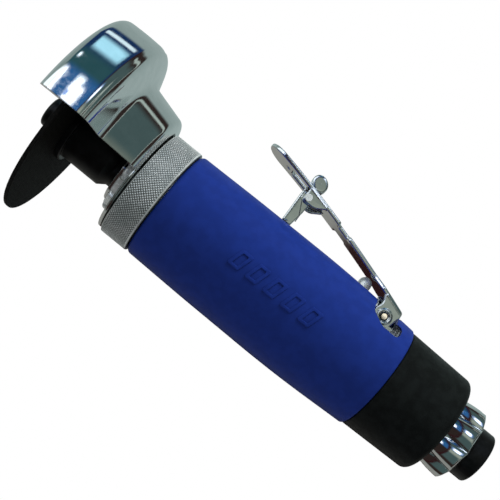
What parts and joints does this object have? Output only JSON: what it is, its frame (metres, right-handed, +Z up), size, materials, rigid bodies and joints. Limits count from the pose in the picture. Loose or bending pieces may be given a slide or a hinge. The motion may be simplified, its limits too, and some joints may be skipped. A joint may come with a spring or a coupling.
{
  "type": "air cut-off tool",
  "caption": "Straight hand-held pneumatic cut-off tool with a lever throttle, safety catch, half-round wheel guard, abrasive wheel and rear air inlet.",
  "frame": {"origin": "centre of the air inlet's mouth, on the spindle axis at the tool's rear end", "axes": "+X along the spindle axis from the air inlet to the cutting wheel, +Z up towards the throttle lever, +Y to the tool's left seen from behind"},
  "size_m": [0.1952, 0.0842, 0.0797],
  "materials": {
    "housing_aluminium": "machined",
    "blue_grip": "satin moulded",
    "knurled_steel": "knurled",
    "chrome": "polished",
    "bearing_steel": "ground",
    "black_steel": "black oxide",
    "abrasive": "gritty",
    "black_composite": "satin",
    "brass": "machined",
    "seal_rubber": "matt",
    "felt": "felt",
    "vane_composite": "laminate",
    "spring_steel": "wire",
    "zinc_steel": "zinc plated"
  },
  "bodies": {
    "tool_body": {"motor_housing": "housing_aluminium", "grip_sleeve": "blue_grip", "clamp_nut": "knurled_steel", "front_plate": "bearing_steel", "front_o_ring": "seal_rubber", "front_bearing_outer": "bearing_steel", "bearing_retainer": "spring_steel", "shaft_seal": "seal_rubber", "cylinder": "bearing_steel", "cylinder_dowels": "bearing_steel", "rear_plate": "bearing_steel", "rear_gasket": "seal_rubber", "rear_bearing_outer": "bearing_steel", "rear_cap": "black_composite", "muffler_felt": "felt", "inlet_bushing": "black_steel", "inlet_o_ring": "seal_rubber", "inlet_screen": "brass", "valve_bushing": "brass", "valve_o_ring": "seal_rubber", "valve_spring": "spring_steel", "lever_pin": "spring_steel", "guard_lock_ring": "zinc_steel"},
    "spindle": {"rotor": "bearing_steel", "vane_1": "vane_composite", "vane_2": "vane_composite", "vane_3": "vane_composite", "vane_4": "vane_composite", "vane_5": "vane_composite", "front_bearing_inner": "bearing_steel", "front_bearing_balls": "bearing_steel", "rear_bearing_inner": "bearing_steel", "rear_bearing_balls": "bearing_steel", "arbor_flange": "black_steel", "cutting_disc": "abrasive", "front_washer": "black_steel", "arbor_screw": "black_steel"},
    "guard": {"wheel_guard": "chrome"},
    "exhaust_deflector": {"exhaust_ring": "chrome"},
    "lever": {"throttle_lever": "chrome", "catch_pin": "zinc_steel", "catch_spring": "spring_steel"},
    "catch": {"safety_catch": "chrome", "catch_spring_leg": "spring_steel"},
    "valve": {"valve_plunger": "zinc_steel", "valve_washer": "seal_rubber"}
  },
  "joints": [
    {"name": "spindle_spin", "type": "hinge", "parent": "tool_body", "child": "spindle", "pos_m": [0.1848, 0, 0], "axis": [1, 0, 0], "continuous": true},
    {"name": "guard_turn", "type": "hinge", "parent": "tool_body", "child": "guard", "pos_m": [0.1558, 0, 0], "axis": [1, 0, 0], "range_deg": [-90, 90]},
    {"name": "exhaust_turn", "type": "hinge", "parent": "tool_body", "child": "exhaust_deflector", "pos_m": [0.0127, 0, 0], "axis": [1, 0, 0], "continuous": true},
    {"name": "lever_press", "type": "hinge", "parent": "tool_body", "child": "lever", "pos_m": [0.058, 0, 0.0173], "axis": [0, 1, 0], "range_deg": [0, 9], "stiffness_Nm_per_rad": 1.2, "springref_deg": -14.32},
    {"name": "catch_fold", "type": "hinge", "parent": "lever", "child": "catch", "pos_m": [0.1048, 0, 0.0333], "axis": [0, 1, 0], "range_deg": [0, 76.6]},
    {"name": "valve_open", "type": "slide", "parent": "tool_body", "child": "valve", "axis": [0, 0, -1], "range_m": [0, 0.00188], "deforming": ["valve_spring"]}
  ],
  "couplings": [
    {"joint": "catch_fold", "follows": "lever_press", "ratio": 8.5},
    {"joint": "valve_open", "follows": "lever_press", "m_per_rad": 0.0119}
  ]
}
